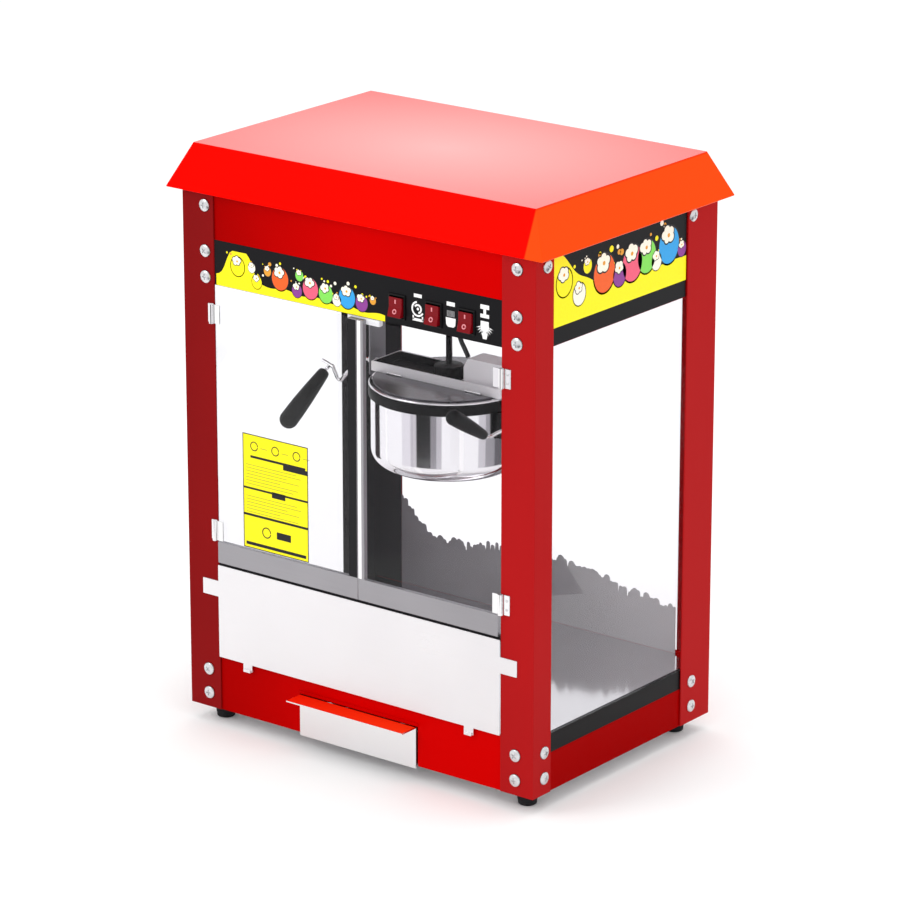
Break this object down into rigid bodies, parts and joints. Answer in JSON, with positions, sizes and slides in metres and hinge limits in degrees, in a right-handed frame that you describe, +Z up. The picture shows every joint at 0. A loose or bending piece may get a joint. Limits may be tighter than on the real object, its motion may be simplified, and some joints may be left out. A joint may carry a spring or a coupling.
{
  "type": "popcorn maker",
  "caption": "Countertop popcorn machine: red sheet-metal cabinet, clear doors and panes, tilting kettle with stirrer, serving flap and kernel drawer.",
  "frame": {"origin": "on the floor plane, under the middle of the bounding box", "axes": "+Z up, doors face -Y, +X is the right-hand side seen from the front"},
  "size_m": [0.56, 0.3962, 0.73],
  "materials": {
    "red_enamel": "glossy red enamel on sheet steel",
    "black_enamel": "black enamel",
    "polished_steel": "mirror-polished stainless steel",
    "brushed_steel": "satin stainless steel",
    "clear_glass": "clear",
    "black_plastic": "moulded black phenolic",
    "black_rubber": "matt",
    "red_plastic": "translucent dark red",
    "lamp_glass": "frosted",
    "cable_sheath": "matt"
  },
  "bodies": {
    "cabinet": {"roof": "red_enamel", "post_front_left": "red_enamel", "post_front_right": "red_enamel", "post_rear_left": "red_enamel", "post_rear_right": "red_enamel", "front_header": "red_enamel", "rear_header": "red_enamel", "side_header_left": "red_enamel", "side_header_right": "red_enamel", "control_panel": "black_enamel", "base_front": "red_enamel", "base_rear": "red_enamel", "base_side_left": "red_enamel", "base_side_right": "red_enamel", "lower_rail_left": "black_enamel", "lower_rail_right": "black_enamel", "bottom_plate": "brushed_steel", "deck": "polished_steel", "ceiling_plate": "brushed_steel", "side_glass_left": "clear_glass", "side_glass_right": "clear_glass", "rear_glass": "clear_glass", "gear_motor": "brushed_steel", "kettle_hanger": "brushed_steel", "lamp_holder": "black_plastic", "lamp_bulb": "lamp_glass", "mains_inlet": "black_plastic", "foot_front_left": "black_rubber", "foot_front_right": "black_rubber", "foot_rear_left": "black_rubber", "foot_rear_right": "black_rubber", "kettle_lead": "cable_sheath"},
    "motor": {"motor_shaft": "polished_steel"},
    "kettle": {"kettle_pot": "polished_steel", "kettle_ring": "black_enamel", "heater_plate": "brushed_steel", "kettle_crossbar": "polished_steel", "terminal_cover": "brushed_steel", "lid_rear": "polished_steel", "lever_left_rod": "polished_steel", "lever_left_grip": "black_plastic", "lever_right_rod": "polished_steel", "lever_right_grip": "black_plastic"},
    "kettle_lid": {"lid_front": "polished_steel"},
    "stirrer": {"agitator": "polished_steel", "drive_knob": "black_plastic"},
    "door_left": {"door_left_glass": "clear_glass", "door_left_frame": "brushed_steel", "door_left_hinge_upper": "polished_steel", "door_left_hinge_lower": "polished_steel"},
    "door_right": {"door_right_glass": "clear_glass", "door_right_frame": "brushed_steel", "door_right_hinge_upper": "polished_steel", "door_right_hinge_lower": "polished_steel"},
    "flap": {"serving_flap": "brushed_steel"},
    "drawer": {"drawer_tray": "brushed_steel", "drawer_front": "polished_steel"},
    "switch_heat": {"rocker_heat": "red_plastic"},
    "switch_stirrer": {"rocker_stirrer": "red_plastic"},
    "switch_lamp": {"rocker_lamp": "red_plastic"}
  },
  "joints": [
    {"name": "door_left_hinge", "type": "hinge", "parent": "cabinet", "child": "door_left", "pos_m": [-0.2175, -0.17572, 0.39], "axis": [0, 0, -1], "range_deg": [0, 110]},
    {"name": "door_right_hinge", "type": "hinge", "parent": "cabinet", "child": "door_right", "pos_m": [0.2175, -0.17572, 0.39], "axis": [0, 0, 1], "range_deg": [0, 110]},
    {"name": "flap_hinge", "type": "hinge", "parent": "cabinet", "child": "flap", "pos_m": [0, -0.17513, 0.082], "axis": [1, 0, 0], "range_deg": [0, 90]},
    {"name": "drawer_slide", "type": "slide", "parent": "cabinet", "child": "drawer", "axis": [0, -1, 0], "range_m": [0, 0.2]},
    {"name": "kettle_tilt", "type": "hinge", "parent": "cabinet", "child": "kettle", "pos_m": [0, 0.00187, 0.447], "axis": [1, 0, 0], "range_deg": [0, 70], "deforming": ["kettle_lead"]},
    {"name": "lid_hinge", "type": "hinge", "parent": "kettle", "child": "kettle_lid", "pos_m": [0, -0.02212, 0.4436], "axis": [-1, 0, 0], "range_deg": [0, 90]},
    {"name": "stirrer_spin", "type": "hinge", "parent": "kettle", "child": "stirrer", "pos_m": [0, 0.00788, 0.447], "axis": [0, 0, 1], "continuous": true},
    {"name": "motor_spin", "type": "hinge", "parent": "cabinet", "child": "motor", "pos_m": [0, 0.00788, 0.55], "axis": [0, 0, 1], "continuous": true},
    {"name": "rocker_heat_tilt", "type": "hinge", "parent": "cabinet", "child": "switch_heat", "pos_m": [0.0625, -0.16983, 0.5835], "axis": [1, 0, 0], "range_deg": [0, 16]},
    {"name": "rocker_stirrer_tilt", "type": "hinge", "parent": "cabinet", "child": "switch_stirrer", "pos_m": [0.116, -0.16983, 0.5835], "axis": [1, 0, 0], "range_deg": [0, 16]},
    {"name": "rocker_lamp_tilt", "type": "hinge", "parent": "cabinet", "child": "switch_lamp", "pos_m": [0.164, -0.16983, 0.5835], "axis": [1, 0, 0], "range_deg": [0, 16]}
  ],
  "couplings": [
    {"joint": "motor_spin", "follows": "stirrer_spin", "ratio": 1}
  ]
}
